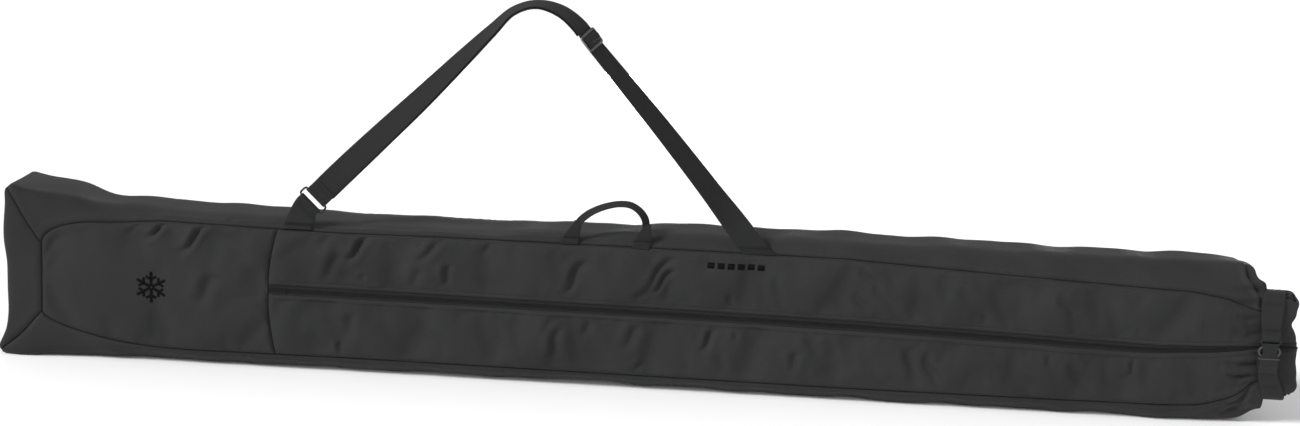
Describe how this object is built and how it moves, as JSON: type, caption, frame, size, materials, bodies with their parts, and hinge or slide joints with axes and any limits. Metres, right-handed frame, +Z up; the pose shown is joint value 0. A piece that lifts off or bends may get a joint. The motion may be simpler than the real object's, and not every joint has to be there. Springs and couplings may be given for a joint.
{
  "type": "ski bag",
  "caption": "Long soft bag for skis with a zipped front, a roll-top mouth closed by a side-release buckle, a shoulder strap and a grab handle.",
  "frame": {"origin": "bottom centre of the bounding box, on the surface the bag stands on", "axes": "+X along the bag from the closed tip to the roll-top mouth, -Y out of the zipped front, +Z up"},
  "size_m": [2.04, 0.157, 0.6073],
  "materials": {
    "shell_fabric": "matt charcoal coated polyester, plain weave",
    "seam_binding": "folded black polyester tape",
    "zip_tape": "black woven zip tape",
    "zip_coil": "black polyester coil",
    "zip_metal": "black painted die-cast metal",
    "zip_pull": "moulded black rubbery tab",
    "webbing": "black ribbed polypropylene webbing",
    "ring_metal": "nickel-plated wire",
    "adjuster_metal": "satin metal",
    "buckle_plastic": "moulded black acetal",
    "stiffener_plastic": "plain black polyethylene strip",
    "print": "flat black screen print"
  },
  "bodies": {
    "bag": {"nose_panel": "shell_fabric", "front_upper_panel": "shell_fabric", "front_lower_panel": "shell_fabric", "back_panel": "shell_fabric", "end_panel": "shell_fabric", "top_gusset": "shell_fabric", "bottom_gusset": "shell_fabric", "collar_neck": "shell_fabric", "seam_binding_front_upper": "seam_binding", "seam_binding_front_lower": "seam_binding", "seam_binding_back_upper": "seam_binding", "seam_binding_back_lower": "seam_binding", "zipper_tape_upper": "zip_tape", "zipper_tape_lower": "zip_tape", "zipper_coil_upper": "zip_coil", "zipper_coil_lower": "zip_coil", "zipper_end_stop": "zip_metal", "strap_anchor": "webbing", "nose_badge": "print", "side_mark": "print"},
    "zip_slider": {"zipper_slider": "zip_metal"},
    "zip_pull": {"zipper_pull": "zip_pull"},
    "roll": {"rolled_collar": "shell_fabric", "mouth_stiffener": "stiffener_plastic", "zipper_tail": "zip_tape", "closure_strap_upper": "shell_fabric", "closure_strap_lower": "webbing", "buckle_socket": "buckle_plastic"},
    "buckle_plug": {"buckle_plug": "buckle_plastic"},
    "buckle_arm_left": {"buckle_arm_left": "buckle_plastic"},
    "buckle_arm_right": {"buckle_arm_right": "buckle_plastic"},
    "shoulder_strap": {"shoulder_strap": "webbing", "strap_return_layer": "webbing", "rectangular_ring": "ring_metal", "ring_tab": "webbing"},
    "strap_adjuster": {"strap_adjuster": "adjuster_metal"},
    "grab_handle": {"handle_webbing": "webbing", "handle_tab_left": "shell_fabric", "handle_tab_right": "shell_fabric"}
  },
  "joints": [
    {"name": "zip_travel", "type": "slide", "parent": "bag", "child": "zip_slider", "axis": [-1, 0, 0], "range_m": [0, 1.52]},
    {"name": "pull_swing", "type": "hinge", "parent": "zip_slider", "child": "zip_pull", "pos_m": [0.955, -0.064, 0.131], "axis": [0, 1, 0], "range_deg": [-170, 170]},
    {"name": "roll_extend", "type": "slide", "parent": "bag", "child": "roll", "axis": [1, 0, 0], "range_m": [0, 0.1]},
    {"name": "buckle_release", "type": "slide", "parent": "roll", "child": "buckle_plug", "axis": [0, 0, -1], "range_m": [0, 0.028]},
    {"name": "arm_squeeze_left", "type": "hinge", "parent": "buckle_plug", "child": "buckle_arm_left", "pos_m": [0.945, -0.0747, 0.1202], "axis": [0, 1, 0], "range_deg": [0, 12], "stiffness_Nm_per_rad": 0.05},
    {"name": "arm_squeeze_right", "type": "hinge", "parent": "buckle_plug", "child": "buckle_arm_right", "pos_m": [0.965, -0.0747, 0.1202], "axis": [0, 1, 0], "range_deg": [-12, 0], "stiffness_Nm_per_rad": 0.05},
    {"name": "strap_swing", "type": "hinge", "parent": "bag", "child": "shoulder_strap", "pos_m": [-0.2, -0.058, 0.24], "axis": [1, 0, 0], "range_deg": [-40, 130]},
    {"name": "adjuster_travel", "type": "slide", "parent": "shoulder_strap", "child": "strap_adjuster", "axis": [0.6561, 0, -0.7547], "range_m": [0, 0.3]},
    {"name": "handle_fold", "type": "hinge", "parent": "bag", "child": "grab_handle", "pos_m": [-0.0775, -0.058, 0.24], "axis": [1, 0, 0], "range_deg": [-45, 160]}
  ],
  "couplings": [
    {"joint": "arm_squeeze_right", "follows": "arm_squeeze_left", "ratio": -1}
  ]
}
